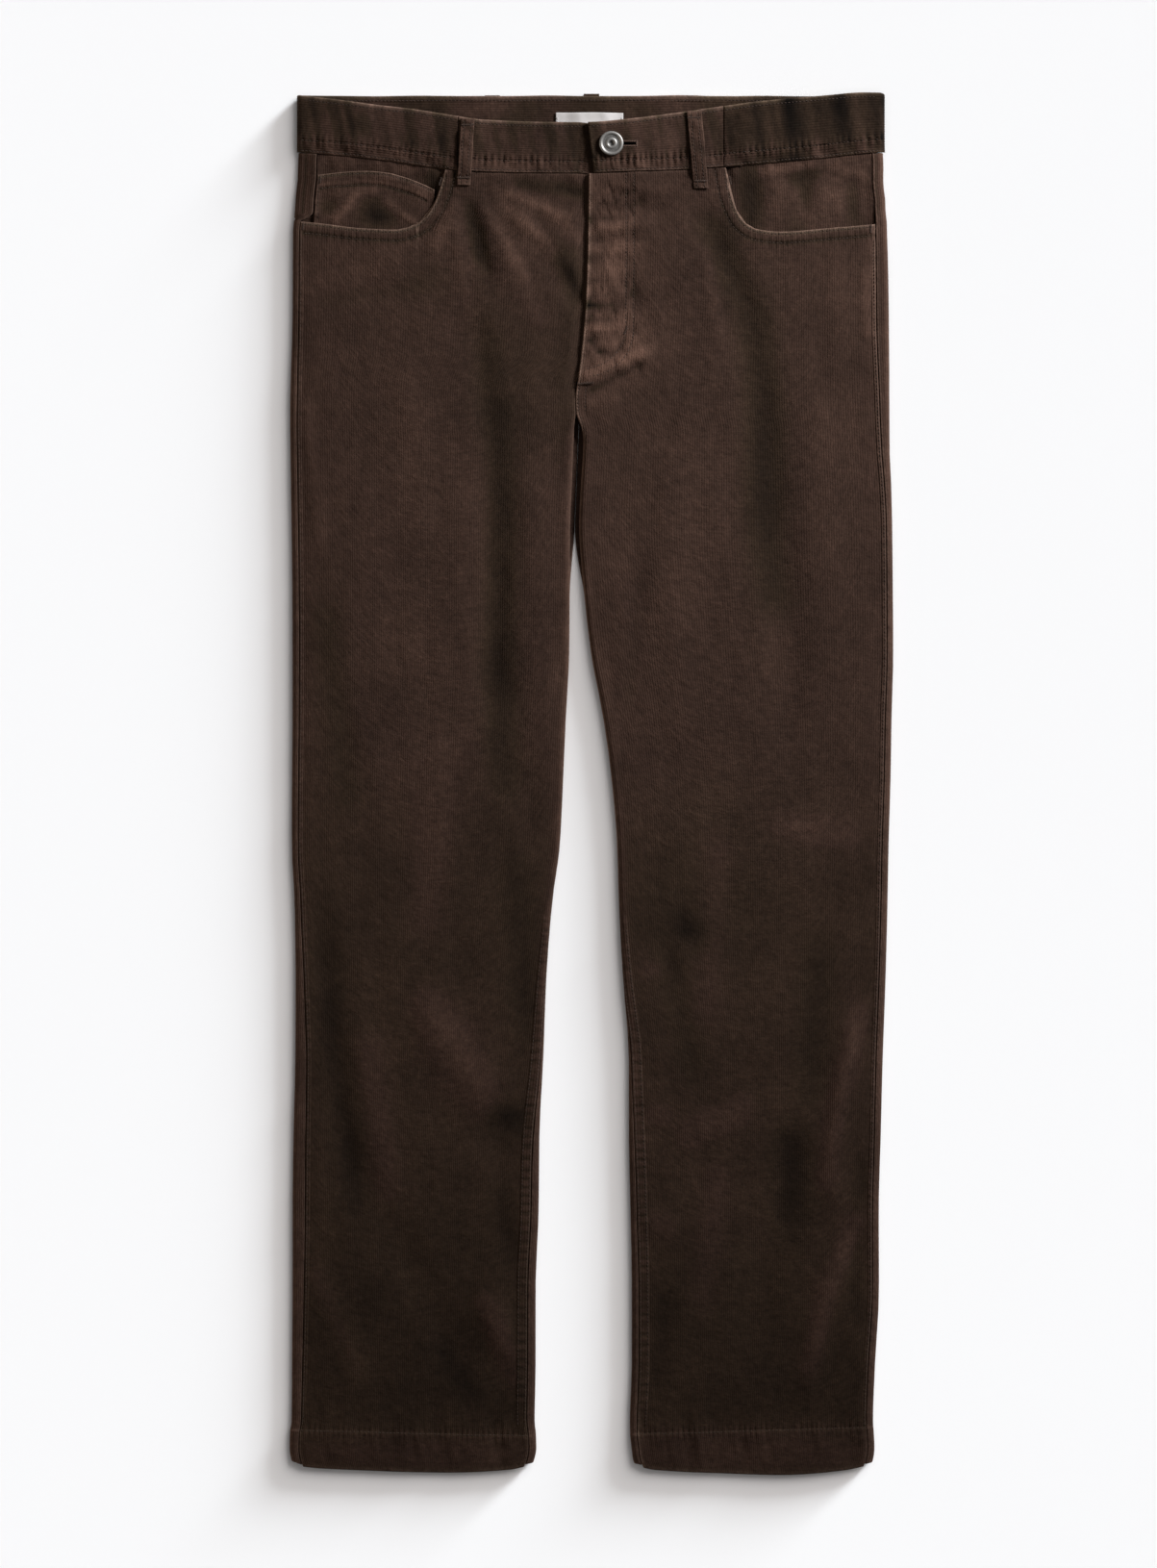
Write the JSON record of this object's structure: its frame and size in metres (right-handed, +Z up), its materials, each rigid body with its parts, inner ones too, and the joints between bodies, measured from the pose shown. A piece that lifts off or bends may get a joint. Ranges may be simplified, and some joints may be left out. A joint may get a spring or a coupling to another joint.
{
  "type": "corduroy trousers",
  "caption": "Straight-leg corduroy trousers laid flat on their back, with curved front pockets, a small coin pocket, a buttoned waistband and belt loops.",
  "frame": {"origin": "on the floor under the middle of the garment's box", "axes": "+Z up, out of the front; +Y towards the waist; +X to the wearer's left, which is the right as seen from above"},
  "size_m": [0.4751, 1.0881, 0.0158],
  "materials": {
    "corduroy": "dark brown fourteen-wale cotton corduroy with a soft pile",
    "button_metal": "worn pewter-coloured metal",
    "label_satin": "pale grey woven satin, blank"
  },
  "bodies": {
    "root": {"front_panel_right": "corduroy", "front_panel_left": "corduroy", "back_panel_right": "corduroy", "back_panel_left": "corduroy", "pocket_facing_right": "corduroy", "pocket_facing_left": "corduroy", "coin_pocket": "corduroy", "waistband_back": "corduroy", "waistband_front_right": "corduroy", "waistband_front_left": "corduroy", "belt_loop_front_right": "corduroy", "belt_loop_front_left": "corduroy", "belt_loop_back_right": "corduroy", "belt_loop_back_centre": "corduroy", "belt_loop_back_left": "corduroy", "button": "button_metal", "waist_label": "label_satin"}
  },
  "joints": []
}
